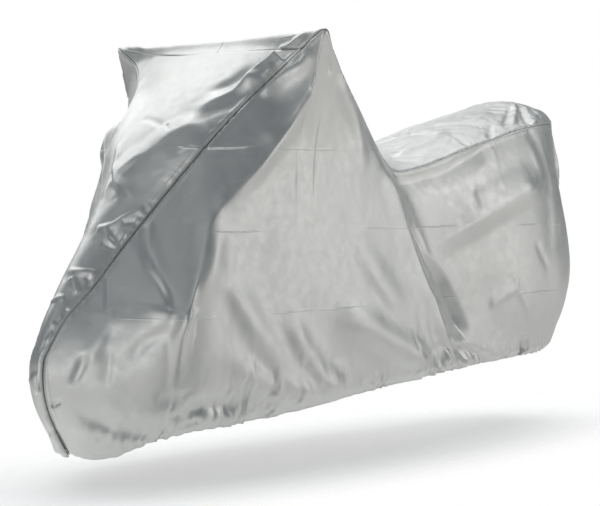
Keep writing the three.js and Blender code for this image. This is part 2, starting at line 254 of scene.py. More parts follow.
# Sections that cut a stretch of the side into columns of about the same mean length.
def evenSections(start, end, shares):
    fine = np.linspace(start, end, fineSteps["sections"] + 1)
    points = sidePoints(1, fine[:, None], np.array(sideLevels)[None, :])
    lengths = np.linalg.norm(np.diff(points, axis=0), axis=2).mean(axis=1)
    grown = np.concatenate([[0], np.cumsum(lengths)])
    return np.interp(shares, grown / grown[-1], fine)


# Unit normals of a grid of points: the cross product of its two slopes, turned to point outwards.
def outwardNormals(points, turn):
    along = np.gradient(points, axis=0)
    down = np.gradient(points, axis=1)
    normal = np.cross(along, down) * turn
    return normal / np.linalg.norm(normal, axis=2, keepdims=True)


# How folds are laid on a panel
laying = {
    "steps": 10,  # points of a path from one place to the next
    "spread": 0.008,  # reach of the mean that puts a point on the surface
    "skip": (3, 2),  # every third column and second row of the panel serves for that mean
    "corner": 0.003,  # rounding of a fold's ridge
    "foot": 0.25,  # share of the reach over which a tent's foot eases out
    "bell": 1.7,  # narrowness of a bell
    "search": 1.3,  # points further from the path than this many reaches are left alone
    "shortest": 1e-6,
}


# A path through a few places of a panel, as points on the panel's smooth surface. The places become a smooth
# curve, and each of its points is the mean of the surface near it, weighted by nearness.
def liftPath(places, panel):
    steps = np.linspace(0, len(places) - 1, laying["steps"] * (len(places) - 1) + 1)
    a, b = throughEven(places[:, 0], steps), throughEven(places[:, 1], steps)
    some = tuple(slice(None, None, skip) for skip in laying["skip"])
    gridA, gridB = panel["a"][some].ravel(), panel["b"][some].ravel()
    points = panel["base"][some].reshape(-1, 3)
    apart = (gridA[None] - a[:, None]) ** 2 + (gridB[None] - b[:, None]) ** 2
    apart -= apart.min(axis=1, keepdims=True)
    weight = np.exp(-apart / (2 * laying["spread"] ** 2))
    return weight @ points / weight.sum(axis=1, keepdims=True)


# Nearest place of a path for each point: distance, which side it is on (right of the path is above zero),
# and the share of the path's length.
def alongPath(points, normals, path):
    step = np.diff(path, axis=0)
    length = np.linalg.norm(step, axis=1)
    offset = points[:, None, :] - path[None, :-1, :]
    share = np.clip((offset * step).sum(2) / length**2, 0, 1)
    rest = offset - share[..., None] * step
    square = (rest**2).sum(2)
    nearest = square.argmin(axis=1)
    row = np.arange(len(points))
    distance = np.sqrt(square[row, nearest])
    rightHand = np.cross(step[nearest], normals)
    side = np.sign((rest[row, nearest] * rightHand).sum(1))
    grown = np.concatenate([[0], np.cumsum(length)])
    place = (grown[nearest] + share[row, nearest] * length[nearest]) / grown[-1]
    return distance, side, place


# A fold's section: a bell where soft is 1 and a tent where it is 0, with its own reach on either side.
def foldSection(distance, side, fold):
    reach = np.where(side < 0, fold["left"], fold["right"])
    corner, foot = laying["corner"], laying["foot"]
    away = (np.sqrt(distance**2 + corner**2) - corner) / reach
    eased = np.clip(1 + foot - away, 0, 2 * foot) ** 2 / (4 * foot)
    tent = np.where(away < 1 - foot, 1 - away, eased)
    bell = np.exp(-((laying["bell"] * away) ** 2))
    return fold["soft"] * bell + (1 - fold["soft"]) * tent


# A fold's row: its path, its height (below 0 it is a trough) and its reach to the left and to the right, in
# millimetres, then how soft it is, and the shares of the path over which it fades in and out.
foldColumns = "path height left right soft start end"


def foldRows(rows):
    folds = [dict(zip(foldColumns.split(), row)) for row in rows]
    for fold in folds:
        fold["path"] = np.array(fold["path"], float) / 1000
        for size in ("height", "left", "right"):
            fold[size] = fold[size] / 1000
    return folds


# Height of all folds on a panel: each adds its section times its height, which fades in over the share start
# of its path and out over the share end.
def foldHeights(panel, folds):
    height = np.zeros(panel["base"].shape[:2])
    points, normals = panel["base"].reshape(-1, 3), panel["normal"].reshape(-1, 3)
    flat = height.ravel()
    for fold in folds:
        path = liftPath(fold["path"], panel)
        reach = laying["search"] * max(fold["left"], fold["right"])
        low, high = path.min(axis=0) - reach, path.max(axis=0) + reach
        near = np.flatnonzero(((points > low) & (points < high)).all(axis=1))
        if len(near) == 0:
            continue
        distance, side, place = alongPath(points[near], normals[near], path)
        fadeIn = smoothStep(0, max(fold["start"], laying["shortest"]), place)
        fadeOut = smoothStep(0, max(fold["end"], laying["shortest"]), 1 - place)
        flat[near] += fold["height"] * fadeIn * fadeOut * foldSection(distance, side, fold)
    return height


# Folds of the left side, placed by x and z. The left and the right of a path are those of someone who goes
# along it, seen from outside the cover.
leftFolds = foldRows([
    # long soft troughs from the leg shield to the hem
    ([(530, 172), (408, 196), (313, 236), (262, 280), (194, 350), (159, 397), (107, 465), (79, 528)],
     13, 45, 70, 1, 0.1, 0.2),
    ([(518, 181), (428, 226), (361, 286), (310, 346), (264, 391)], 14, 40, 55, 1, 0.2, 0.3),
    ([(875, 205), (773, 249), (676, 290), (589, 330), (506, 362), (423, 390)], 21, 60, 70, 1, 0.2, 0.3),
    ([(720, 323), (678, 390), (620, 450), (563, 517), (514, 586)], 9, 45, 70, 1, 0.4, 0.4),
    ([(427, 173), (315, 193), (221, 229), (130, 284), (58, 316)], 15, 50, 50, 1, 0.2, 0.4),
    # upright folds of the upper side
    ([(589, 712), (563, 774), (524, 842), (456, 903), (401, 955)], 8, 35, 40, 0.8, 0.3, 0.2),
    ([(376, 599), (384, 676), (387, 746), (373, 830), (360, 915)], -1.4, 12, 20, 0.8, 0.2, 0.3),
    ([(375, 947), (360, 964), (340, 988)], -3, 8, 8, 0.4, 0.3, 0.3),
    # dark fold and light streak beside the front seam
    ([(201, 775), (230, 829), (249, 862), (271, 887), (290, 913), (302, 941), (305, 975)],
     -6, 45, 30, 0.8, 0.2, 0.3),
    ([(228, 893), (252, 915), (274, 938), (289, 955), (301, 977), (304, 1001)], 9, 18, 22, 0.3, 0.2, 0.1),
    # lower limit of the leg shield
    ([(-118, 347), (-113, 389), (-105, 408), (-84, 422)], 3.5, 28, 40, 0.8, 0.4, 0.4),
    ([(-105, 412), (-88, 414), (-76, 412), (-67, 410), (-41, 403), (10, 400)], 5.5, 10, 80, 0, 0.5, 0),
    ([(-170, 284), (-158, 315), (-140, 352), (-126, 387), (-117, 412)], 4, 32, 22, 0.8, 0.15, 0.1),
    ([(-140, 232), (-136, 280), (-130, 333)], -3, 22, 8, 0.3, 0.3, 0.3),
    ([(-50, 439), (-25, 509), (-12, 562), (1, 605)], -3, 30, 30, 0.7, 0.4, 0.1),
    ([(-126, 383), (-112, 427), (-89, 494)], -2, 6, 6, 0.4, 0.2, 0.3),
    # nose: sweep round it, pucker at the seam, bow above the hem
    ([(-198, 200), (-179, 188), (-161, 168), (-136, 153), (-112, 135), (-86, 130), (-45, 120),
      (-12, 117), (23, 115)], -9, 50, 20, 0.3, 0.35, 0.1),
    ([(-189, 163), (-162, 137), (-135, 122)], 3, 20, 16, 0.7, 0.3, 0.3),
    ([(-220, 189), (-212, 201), (-203, 205)], -5, 8, 8, 0.3, 0.2, 0.3),
    ([(-195, 236), (-186, 265), (-167, 321)], -5, 12, 16, 0.6, 0.3, 0.3),
    ([(-101, 284), (-87, 330), (-58, 356), (-33, 378)], -4, 22, 22, 0.9, 0.3, 0.3),
    ([(-19, 178), (22, 172), (55, 178), (96, 181), (142, 172), (175, 151)], -11, 40, 18, 0.5, 0.3, 0.3),
    ([(-1, 131), (34, 145), (73, 153)], -4, 10, 12, 0.3, 0.3, 0.3),
    ([(-139, 113), (-127, 118), (-114, 124)], -4, 8, 8, 0.3, 0.3, 0.3),
    ([(-66, 203), (-16, 205), (42, 198)], -4, 30, 30, 0.9, 0.4, 0.4),
    # edge of the front sheet, the trough behind it and the flank facing forward
    ([(1052, 199), (978, 225), (919, 267), (876, 327), (849, 382), (813, 435), (785, 488), (759, 536),
      (736, 595), (717, 652), (696, 698), (688, 741)], 10, 50, 12, 0.3, 0, 0.1),
    ([(1065, 253), (1008, 327), (938, 414), (896, 453), (842, 494), (813, 541), (772, 588)],
     -26, 14, 30, 0.1, 0.25, 0.1),
    # bulge of the sheet above the hem
    ([(893, 193), (901, 227), (912, 267)], 18, 45, 16, 0.5, 0, 0.5),
    # fold over the rear hem
    ([(930, 272), (998, 252), (1064, 244), (1119, 227), (1191, 202)], -14, 12, 30, 0.2, 0.1, 0.2),
    ([(1214, 203), (1234, 214), (1262, 227)], -4, 12, 12, 0.7, 0, 0.5),
    ([(1335, 214), (1324, 237), (1300, 272)], -18, 26, 18, 0.5, 0, 0.5),
    # creases of the rear side
    ([(836, 530), (909, 544), (963, 560), (1058, 600), (1147, 636), (1254, 668), (1325, 688),
      (1374, 719)], 19, 78, 55, 0.05, 0.45, 0.2),
    ([(1246, 672), (1323, 699), (1371, 736), (1366, 770), (1355, 803), (1350, 835)],
     2.5, 32, 28, 0.8, 0.2, 0.3),
    ([(1060, 611), (1058, 666), (1069, 713)], -2, 28, 12, 0.2, 0.3, 0.4),
    ([(1169, 652), (1170, 718), (1176, 801)], 1.4, 16, 16, 0.5, 0.3, 0.1),
    ([(1207, 478), (1190, 529), (1169, 591), (1149, 631)], -1.5, 14, 14, 0.6, 0.3, 0.3),
    ([(1135, 355), (1166, 370), (1204, 391), (1254, 403)], 5, 30, 16, 0.1, 0.2, 0.1),
    ([(1350, 286), (1295, 353), (1254, 403), (1215, 473)], 3, 16, 20, 0.2, 0.3, 0.3),
    ([(1403, 447), (1353, 504), (1321, 545)], -2.5, 18, 18, 0.8, 0.3, 0.3),
    # dark band that runs from the peak down the tail corner
    ([(1399, 476), (1411, 563), (1411, 649), (1420, 719), (1406, 775), (1387, 825), (1369, 856)],
     -3, 40, 34, 1, 0.3, 0),
    # flap of the allowance under the rear seam
    ([(764, 692), (850, 703), (896, 712), (947, 723), (989, 735), (1030, 752), (1093, 773), (1168, 805)],
     -8, 18, 46, 0, 0.05, 0.15),
    # pressed crease across the leg shield
    ([(111, 773), (124, 781), (129, 771), (162, 770), (211, 771)], 1.8, 12, 12, 0.1, 0, 0.3),
    ([(1, 597), (29, 598), (49, 595)], 2.5, 12, 100, 0, 0.1, 0.1),
])

# Folds of the right side, of which the photo shows little more than the outline, placed by x and z.
rightFolds = foldRows([
    # swelling under the handlebar, which shows in the outline
    ([(180, 880), (160, 820), (150, 770), (170, 720)], 22, 70, 70, 1, 0.4, 0.4),
    ([(-200, 190), (-100, 160), (30, 125)], -12, 30, 30, 0.7, 0.3, 0.3),
    ([(60, 520), (130, 350), (330, 200)], -14, 40, 40, 0.8, 0.4, 0.2),
    ([(400, 600), (520, 450), (760, 200)], -15, 50, 40, 0.8, 0.4, 0.2),
    ([(700, 765), (800, 580), (900, 300)], 16, 80, 20, 0.3, 0.2, 0.3),
    ([(790, 660), (900, 460), (1020, 280)], -24, 20, 60, 0.3, 0.2, 0.3),
    ([(900, 560), (1120, 600), (1360, 690)], 10, 30, 80, 0.3, 0.3, 0.3),
    ([(1180, 520), (1230, 380), (1260, 230)], -10, 30, 30, 0.8, 0.3, 0.3),
    ([(1400, 650), (1420, 470), (1460, 280)], -9, 22, 22, 0.7, 0.3, 0.3),
])

# Folds of the front panel, placed by y and z.
frontFolds = foldRows([
    # fairing crease, from the corner at the far side to the near seam
    ([(26, 706), (8, 720), (-26, 747), (-59, 764), (-87, 798), (-111, 817), (-137, 825), (-159, 837)],
     9, 45, 90, 0, 0.05, 0.2),
    ([(25, 699), (-12, 687), (-42, 674), (-73, 651)], 4, 20, 12, 0, 0.1, 0.4),
    ([(38, 847), (-10, 840), (-63, 824)], -3, 10, 10, 0.2, 0.2, 0.2),
    ([(-64, 830), (-75, 820), (-87, 810)], -2, 6, 6, 0.2, 0.2, 0.2),
    # dark and bright streaks that run up to the handlebar
    ([(-94, 906), (-131, 916), (-156, 930), (-171, 953), (-190, 977)], -6, 26, 14, 0.7, 0.4, 0.4),
    ([(-102, 858), (-124, 875), (-159, 896), (-188, 919), (-218, 940), (-253, 961)],
     7, 18, 22, 0.4, 0.3, 0.1),
    ([(-120, 821), (-155, 854), (-184, 870), (-202, 895), (-222, 921)], -2.2, 22, 14, 0.7, 0.5, 0.4),
    # band pressed beside the near seam
    ([(-168, 905), (-188, 927), (-199, 953), (-220, 974), (-237, 995)], 21, 7, 36, 0, 0.4, 0),
    # upright bands and creases of the lower part
    ([(4, 639), (26, 677), (33, 708), (44, 748), (77, 794)], 4, 14, 18, 0.4, 0.3, 0.2),
    ([(-122, 763), (-136, 773), (-148, 779), (-169, 774)], 2.5, 7, 7, 0, 0.2, 0.1),
    ([(-8, 589), (-42, 598), (-52, 607), (-65, 619), (-89, 636)], 3.2, 6, 12, 0, 0.1, 0.1),
    ([(-24, 599), (-47, 568), (-72, 539)], 2.8, 8, 11, 0.1, 0.2, 0.2),
    ([(-56, 602), (-70, 602), (-83, 605)], -2, 6, 6, 0.1, 0.2, 0.2),
    ([(-67, 573), (-77, 580), (-87, 591)], 3, 7, 11, 0.1, 0.2, 0.2),
    ([(-45, 581), (-64, 559), (-76, 554)], -3.5, 18, 12, 0.6, 0.3, 0.3),
    ([(10, 494), (-24, 492), (-42, 492), (-59, 485)], 3, 6, 12, 0, 0.1, 0.2),
    ([(-11, 482), (-28, 461), (-41, 441)], 3, 8, 10, 0.1, 0.2, 0.2),
    ([(-38, 484), (-48, 467), (-53, 451)], -2, 6, 6, 0.2, 0.2, 0.2),
    ([(22, 421), (1, 432), (-23, 435)], 3, 8, 10, 0.2, 0.2, 0.2),
    ([(-14, 380), (-29, 370), (-33, 368)], 3, 6, 8, 0.1, 0.2, 0.2),
    ([(-21, 337), (-26, 350), (-31, 358)], 3, 6, 8, 0.1, 0.2, 0.2),
    ([(-31, 393), (-35, 398), (-37, 409)], -3, 6, 6, 0.2, 0.2, 0.2),
    ([(-36, 556), (-51, 549), (-69, 541)], -3, 12, 9, 0.3, 0.2, 0.2),
    ([(10, 261), (-5, 237), (-18, 222)], 4, 14, 10, 0.2, 0.2, 0.2),
    ([(0, 323), (-2, 294), (-6, 261)], -3, 14, 14, 0.6, 0.2, 0.2),
])

# Folds of the top panel, placed by the distance from the cross seam along its middle, and y.
topFolds = foldRows([
    # rounded ends of the handlebar, and the back of the tail
    ([(50, 335), (50, 300), (50, 270)], 5, 50, 50, 0.9, 0, 0.3),
    ([(85, -320), (85, -220), (85, -20)], 11, 50, 80, 0.9, 0.3, 0.5),
    ([(1600, -100), (1610, 0), (1600, 100)], 16, 130, 130, 1, 0, 0),
    ([(180, -230), (330, -120), (520, -90)], -10, 40, 40, 0.9, 0.3, 0.3),
    ([(1500, -60), (1700, -70), (2050, -50)], -8, 30, 30, 0.9, 0.3, 0.3),
    ([(1520, 70), (1750, 60), (2080, 70)], -8, 30, 30, 0.9, 0.3, 0.3),
    # end of the band pressed beside the near seam
    ([(0, -233), (9, -254), (25, -289), (44, -317)], 7, 7, 28, 0, 0, 0.4),
    # streaks along the seat
    ([(676, -96), (751, -94), (826, -106), (930, -95)], 8, 20, 20, 0.4, 0.3, 0.3),
    ([(703, -59), (760, -66), (826, -74), (915, -92)], -6, 12, 14, 0.4, 0.2, 0.3),
    ([(910, -18), (967, -56), (1031, -86), (1099, -96)], 5, 12, 10, 0.3, 0.3, 0.2),
    ([(915, -124), (910, -152), (910, -178)], -3, 12, 12, 0.4, 0.2, 0.2),
    # fan of folds under the peak of the tail
    ([(1093, -150), (1154, -126), (1238, -83)], -7, 14, 10, 0.2, 0.3, 0.1),
    ([(1132, -160), (1180, -127), (1277, -65)], 6, 12, 16, 0.2, 0.3, 0.1),
    ([(1214, -163), (1234, -130), (1287, -73)], -10, 16, 16, 0.3, 0.1, 0.1),
    ([(1009, -180), (1042, -153), (1082, -121)], -6, 22, 8, 0.3, 0, 0.4),
    ([(1229, -162), (1253, -148), (1263, -135)], 4, 8, 8, 0.2, 0.2, 0.3),
    ([(1376, -123), (1332, -117), (1337, -71)], 5, 12, 14, 0.4, 0.3, 0.2),
])


# Numbers of cells of each panel, and where its columns and rows lie closer together, each such place with its
# reach and how much denser it is there. end is the number of cells below the seam's last point, and bendFrom
# the section from which the rows bend towards the bowed cross seam.
grids = {
    "side": {
        "along": 398,
        "down": 121,
        "alongPeaks": [(0, 0.01, 1.5), (1, 0.008, 2), (0.53, 0.05, 0.8)],
        "downPeaks": [(0, 0.02, 2.0), (1, 0.04, 0.6)],
    },
    "strip": {"acrossPeaks": [(0, 0.02, 1.5), (1, 0.02, 1.5)]},
    "front": {"along": 300, "across": 158, "end": 70, "bendFrom": 5.5},
    "top": {"along": 440, "across": 110, "end": 120, "bendFrom": 9.5},
}

# Unevenness of the hanging cloth: a slow and a finer layer, with their slants and the size of their cells
slack = [
    {"height": 0.0022, "slant": (0.3, -0.2), "cell": (0.16, 0.22)},
    {"height": 0.0009, "slant": (-0.4, 0.3), "cell": (0.055, 0.07)},
]

# Small facets where the cloth was pressed: their height, and how strong they are in each place, from 0 to 1
crumple = {
    "height": 0.0036,
    "slants": ((0.7, -0.5), (-0.5, 0.8)),
    "scales": (1, 0.45),
    "sideCell": (0.045, 0.060),
    "side": 0.08,
    "sideHem": 0.6,
    "hemReach": 0.09,
    "frontCell": (0.085, 0.100),
    "front": 0.10,
    "frontLow": 0.45,  # more below the fairing crease
    "frontLowFrom": (0.32, 0.50),
    "frontLowTo": (0.74, 0.86),
    "frontFar": 0.5,  # at the far edge
    "frontFarFrom": (0.10, 0.22),
    "topCell": (0.110, 0.035),
    "top": 0.10,
    "seat": 0.60,  # more on the seat
    "seatFrom": (0.50, 0.70),
    "seatTo": (1.30, 1.45),
}


# Distance of each point of a line from its first point, measured along the line.
def lengthAlong(line):
    return np.concatenate([[0], np.cumsum(np.linalg.norm(np.diff(line, axis=0), axis=1))])


# A side: columns from the nose to the tail, rows from the seam to the hem, and the distances that the folds,
# the gathers and the material use. hand is -1 on the left.
def sidePanel(hand):
    grid = grids["side"]
    section = evenSections(0, tailSection, gradedShares(grid["along"], grid["alongPeaks"]))
    down = gradedShares(grid["down"], grid["downPeaks"])
    base = sidePoints(hand, section[:, None], down[None, :])
    normal = outwardNormals(base, hand)
    fromSeam = np.linalg.norm(base - base[:, :1], axis=2)
    fromNose = np.linalg.norm(base - base[:1], axis=2)
    fromTail = np.linalg.norm(base - base[-1:], axis=2)
    return {
        "base": base,
        "normal": normal,
        "a": base[..., 0],
        "b": base[..., 2],
        "fromSeam": np.minimum(fromSeam, np.minimum(fromNose, fromTail)),
        "fromHem": np.linalg.norm(base - base[:, -1:], axis=2),
        "alongHem": lengthAlong(base[:, -1])[:, None] + 0 * down[None, :],
        "alongSeam": lengthAlong(base[:, 0])[:, None] + 0 * down[None, :],
        "crumpled": sideCrumple(base),
        "crumpleCell": crumple["sideCell"],
        "turn": hand,
    }


# Where a side is crumpled: by the hem, and hardly elsewhere.
def sideCrumple(base):
    fromHem = np.linalg.norm(base - base[:, -1:], axis=2)
    atHem = np.exp(-((fromHem / crumple["hemReach"]) ** 2))
    return crumple["side"] + (crumple["sideHem"] - crumple["side"]) * atHem


# Centre strip: its rows bend over the last sections so that they end along the bowed cross seam.
def stripPanel(section, down, grid):
    acrossCount = grid["across"]
    across = 2 * gradedShares(acrossCount, grids["strip"]["acrossPeaks"]) - 1
    across = across[None, :] + 0 * section[:, None]
    rise = np.where(across < 0, crossSeamRise["left"], crossSeamRise["right"])
    bend = smoothStep(grid["bendFrom"], crossSeam, section)[:, None] * rise * across**2
    section = np.where(down[:, None] == 0, section[:, None] + bend, section[:, None])
    base = stripPoints(section, down[:, None] + 0 * across, across)
    length = lengthAlong(base[:, acrossCount // 2])
    fromLeft, fromRight = (np.linalg.norm(base - base[:, i : i + 1], axis=2) for i in (0, acrossCount))
    return {
        "base": base,
        "normal": outwardNormals(base, 1),
        "length": length,
        "fromSeam": np.minimum(fromLeft, fromRight),
        "alongHem": base[..., 1] + hem["stripStart"],
        "alongSeam": length[:, None] + 0 * across,
        "turn": 1,
    }


# The front panel: rows up the nose from the hem, then along the seams to the cross seam.
def frontPanel():
    grid = grids["front"]
    seamCells = grid["along"] - grid["end"]
    seam = evenSections(0, crossSeam, np.linspace(0, 1, seamCells + 1))
    section = np.concatenate([np.zeros(grid["end"]), seam])
    down = np.concatenate([np.linspace(1, 0, grid["end"] + 1)[:-1], np.zeros(seamCells + 1)])
    panel = stripPanel(section, down, grid)
    panel["a"], panel["b"] = panel["base"][..., 1], panel["base"][..., 2]
    isLow = 1 - smoothStep(*crumple["frontLowTo"], panel["b"])
    low = crumple["front"] + crumple["frontLow"] * isLow * smoothStep(*crumple["frontLowFrom"], panel["b"])
    far = crumple["frontFar"] * smoothStep(*crumple["frontFarFrom"], panel["a"])
    panel["crumpled"] = np.maximum(low, far)
    panel["crumpleCell"] = crumple["frontCell"]
    panel["fromHem"] = panel["length"][:, None] + 0 * panel["a"]
    panel["fromCross"] = np.linalg.norm(panel["base"] - panel["base"][-1:], axis=2)
    return panel


# The top panel: rows from the cross seam along the seams to the tail, then down the tail to the hem.
def topPanel():
    grid = grids["top"]
    seamCells = grid["along"] - grid["end"]
    seam = evenSections(crossSeam, tailSection, np.linspace(0, 1, seamCells + 1))
    section = np.concatenate([seam, np.full(grid["end"], float(tailSection))])
    down = np.concatenate([np.zeros(seamCells + 1), np.linspace(0, 1, grid["end"] + 1)[1:]])
    panel = stripPanel(section, down, grid)
    panel["a"] = panel["length"][:, None] + 0 * panel["base"][..., 1]
    panel["b"] = panel["base"][..., 1]
    onSeat = smoothStep(*crumple["seatFrom"], panel["a"]) * (1 - smoothStep(*crumple["seatTo"], panel["a"]))
    panel["crumpled"] = crumple["top"] + crumple["seat"] * onSeat
    panel["crumpleCell"] = crumple["topCell"]
    panel["fromHem"] = panel["length"][-1] - panel["a"]
    panel["fromCross"] = np.linalg.norm(panel["base"] - panel["base"][:1], axis=2)
    return panel


seams = {
    "calm": 0.014,  # folds fade out over this distance beside a seam
    "crossCalm": 0.006,
    "dip": 0.0022,  # depth of the stitched groove
    "dipReach": 0.0035,
    "welt": 0.0010,  # height of the allowance that shows beside it
    "weltFrom": 0.003,
    "weltTo": 0.012,
    "weltEnd": 0.016,
}


# A low welt beside the seam, and in the seam a groove in the shape of a bell.
def seamRelief(distance):
    welt = smoothStep(0, seams["weltFrom"], distance)
    welt = welt * (1 - smoothStep(seams["weltTo"], seams["weltEnd"], distance))
    return seams["welt"] * welt - seams["dip"] * np.exp(-((distance / seams["dipReach"]) ** 2))


# Smooth random heights from -1 to 1: a grid of random numbers with cells of the given size, joined by smooth
# cubic steps. It depends only on the place and the seed.
def unevenness(a, b, cellA, cellB, seed):
    random = np.random.default_rng(seed)
    margin = 50  # cells before the first, so that no place falls outside the grid
    u, v = a / cellA + margin, b / cellB + margin
    values = random.uniform(-1, 1, (int(u.max()) + 3, int(v.max()) + 3))
    i, j = np.floor(u).astype(int), np.floor(v).astype(int)
    p, q = u - i, v - j
    p, q = p * p * (3 - 2 * p), q * q * (3 - 2 * q)
    low = values[i, j] * (1 - p) + values[i + 1, j] * p
    high = values[i, j + 1] * (1 - p) + values[i + 1, j + 1] * p
    return low * (1 - q) + high * q


# What all gathers have in common
gathers = {
    "slowCell": 0.05,  # length over which the waves wander
    "quickCell": 0.02,
    "quick": 0.3,  # share of the quicker wandering
    "second": 0.5,  # height and length of the second wave, as shares of the first
    "secondLength": 0.43,
    "mean": 0.45,  # strength of the gathers, from place to place
    "change": 0.9,
    "least": 0.05,
    "falloff": 1.5,
}


# Small gathers square to an edge: waves along the edge whose length wanders, highest at the edge. Their
# height changes along the edge, so that some stretches are crinkled and others nearly smooth.
def edgeGathers(along, distance, gather, seed):
    quickCell = gathers["quickCell"]
    bent = along + gather["wander"] * unevenness(along, 0 * along, gathers["slowCell"], 1, seed)
    bent += gathers["quick"] * gather["wander"] * unevenness(along, distance, quickCell, quickCell, seed + 1)
    turn = 2 * np.pi * bent / gather["wave"]
    wave = np.sin(turn) + gathers["second"] * np.sin(turn / gathers["secondLength"] + 1)
    change = gathers["change"] * unevenness(along, 0 * along, gather["patch"], 1, seed + 2)
    strength = np.clip(gathers["mean"] + change, gathers["least"], 1)
    return gather["height"] * strength * wave * np.exp(-((distance / gather["reach"]) ** gathers["falloff"]))


hem = {
    "roll": 0.010,  # the elastic edge curls in by this
    "rollReach": 0.014,
    "stripStart": 0.5,  # the centre strips' hem is counted from this far to the left
    "short": {"height": 0.0038, "wave": 0.030, "reach": 0.034, "wander": 0.020, "patch": 0.10},
    "long": {"height": 0.0055, "wave": 0.105, "reach": 0.085, "wander": 0.060, "patch": 0.16},
}
seamGather = {"height": 0.0008, "wave": 0.026, "reach": 0.016, "wander": 0.026, "patch": 0.07}


# The hem curls in as a bell, with short gathers on long ones.
def hemRelief(panel, seed):
    distance, along = panel["fromHem"], panel["alongHem"]
    curl = -hem["roll"] * np.exp(-((distance / hem["rollReach"]) ** 2))
    short = edgeGathers(along, distance, hem["short"], seed)
    return curl + short + edgeGathers(along, distance, hem["long"], seed + 10)


# The same with the two directions slanted: each place is moved by a share of the other direction.
def slantedUnevenness(a, b, slant, cell, seed):
    return unevenness(a + slant[0] * b, b + slant[1] * a, cell[0], cell[1], seed)


# Slow unevenness of hanging cloth, finer and crisper where the cloth was pressed into small facets.
def slackRelief(panel, seed):
    a, b = panel["a"], panel["b"]
    result = 0
    for k, layer in enumerate(slack):
        result = result + layer["height"] * slantedUnevenness(a, b, layer["slant"], layer["cell"], seed + k)
    facets = crumpled(a, b, panel["crumpleCell"], seed + len(slack))
    return result + crumple["height"] * panel["crumpled"] * facets


# Crisp creases between small flat facets: the size of a smooth random height, which has a kink along each
# line where that height is zero. Two of them at different slants are taken from each other, and a finer pair
# added.
def crumpled(a, b, cell, seed):
    result = 0
    for k, scale in enumerate(crumple["scales"]):
        scaled = (cell[0] * scale, cell[1] * scale)
        first, second = (
            np.abs(slantedUnevenness(a, b, slant, scaled, seed + 4 * k + i))
            for i, slant in enumerate(crumple["slants"])
        )
        result = result + scale * (first - second)
    return result


# The panel's grid moved out along its normals by the height, as one sheet with its thickness inwards. The
# material reads the distances from the seam and the hem as attributes.
def clothMesh(name, panel, height):
    points = panel["base"] + panel["normal"] * height[..., None] - holdPlace
    columns, rows = points.shape[:2]
    index = np.arange(columns * rows).reshape(columns, rows)
    quads = np.stack([index[:-1, :-1], index[1:, :-1], index[1:, 1:], index[:-1, 1:]], -1).reshape(-1, 4)
    if panel["turn"] < 0:
        quads = quads[:, ::-1]
    mesh = bpy.data.meshes.new(name)
    mesh.from_pydata(points.reshape(-1, 3), [], quads)
    mesh.polygons.foreach_set("use_smooth", np.ones(len(quads), dtype=bool))
    for label in ("fromSeam", "fromHem", "alongSeam"):
        attribute = mesh.attributes.new(label, "FLOAT", "POINT")
        attribute.data.foreach_set("value", panel[label].ravel().astype(np.float32))
    mesh.update()
    piece = bpy.data.objects.new(name, mesh)
    bpy.context.scene.collection.objects.link(piece)
    solid = piece.modifiers.new("thickness", "SOLIDIFY")
    solid.thickness = shape["thickness"]
    solid.offset = -1
    return piece


# Fabric finish: a satin metallic coat over a fine weave.
finish = {
    "colour": (0.76, 0.765, 0.745),
    "metallic": 0.75,
    "roughness": 0.42,
    "roughnessSpread": 0.05,
    "weaveScale": 142.727,  # bands about 3 mm apart on the sides
    "weaveWander": 1.5,
    "weaveHeight": 0.00004,
    "crinkleSize": 0.022,
    "crinkleHeight": 0.0011,
    "crinkleAway": 0.25,  # share of it that is left away from the hem
    "hemReach": 0.07,
    "creaseWidth": 0.0030,  # lines where the cloth was folded for packing
    "creaseHeight": 0.0011,
    "creaseDrift": 0.012,  # they wander by up to half of this
    "driftScale": 5,
    "patchScale": 4.5,  # they are faint in some places and crisp in others
    "patchFrom": 0.45,
    "patchTo": 0.62,
    "patchLeast": 0.04,
    "stitchFrom": 0.0055,  # row of stitches beside each seam
    "stitchWidth": 0.0011,
    "stitchLength": 0.0035,
    "stitchEnd": 0.0007,
    "stitchHeight": 0.0005,
    "seamShadeColour": (0.13, 0.14, 0.145),  # painted shade of the seam's groove, a dark line along each seam
    "seamShadeWidth": 0.0024,
}

# Creases from packing, for each panel: the places of those across each axis
packing = {
    "side": {"X": [0.375], "Z": [0.390, 0.582, 0.774]},
    "front": {"Z": [0.774]},
    "top": {"X": [0.720, 1.065], "Y": [-0.02]},
}


# A new node with its settings, whose inputs get a constant or the output of another node.
def addNode(tree, kind, inputs, **settings):
    node = tree.nodes.new("ShaderNode" + kind)
    for name, value in settings.items():
        setattr(node, name, value)
    for socket, value in inputs.items():
        if isinstance(value, bpy.types.NodeSocket):
            tree.links.new(value, node.inputs[socket])
        else:
            node.inputs[socket].default_value = value
    return node


# The result of one operation on two values.
def mathNode(tree, operation, first, second=0.0):
    return addNode(tree, "Math", {0: first, 1: second}, operation=operation).outputs[0]


# From start at low to end at high, as a smooth step.
def rampNode(tree, value, low, high, start, end):
    inputs = {"Value": value, "From Min": low, "From Max": high, "To Min": start, "To Max": end}
    return addNode(tree, "MapRange", inputs, interpolation_type="SMOOTHSTEP").outputs["Result"]


# A smooth noise from 0 to 1: scale is the number of its cells along a metre, and detail adds finer layers.
def noiseNode(tree, place, scale, detail, distortion):
    inputs = {"Vector": place, "Scale": scale, "Detail": detail, "Distortion": distortion}
    return addNode(tree, "TexNoise", inputs).outputs["Fac"]


# A distance that the mesh carries as an attribute.
def measuredNode(tree, label):
    return addNode(tree, "Attribute", {}, attribute_name=label).outputs["Fac"]


